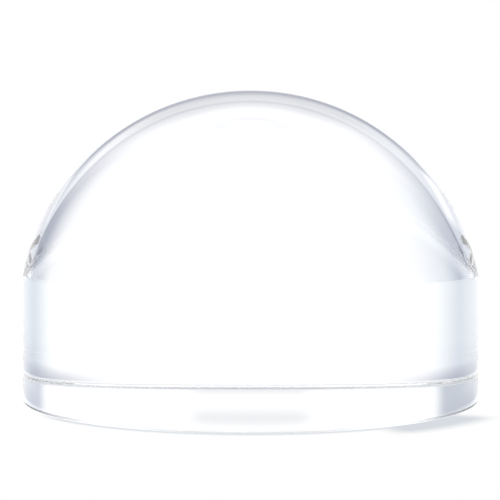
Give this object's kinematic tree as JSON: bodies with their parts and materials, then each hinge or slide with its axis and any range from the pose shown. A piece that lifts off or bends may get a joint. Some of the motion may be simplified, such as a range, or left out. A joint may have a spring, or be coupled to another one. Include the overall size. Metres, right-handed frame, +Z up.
{
  "type": "dome magnifier",
  "caption": "Solid clear acrylic dome lens with a flat base and a short straight wall, stood on a page to magnify print for low vision reading.",
  "frame": {"origin": "centre of the flat base face, on the axis of the dome", "axes": "+Z up along the dome's axis, from the base face to the top of the dome; X and Y lie in the base face and are interchangeable, because the part is a solid of revolution"},
  "size_m": [0.08, 0.08, 0.0543],
  "materials": {
    "clear_acrylic": "polished, water clear, with a very faint blue grey tint at the edges and a finely ground base edge"
  },
  "bodies": {
    "root": {"dome_lens": "clear_acrylic"}
  },
  "joints": []
}
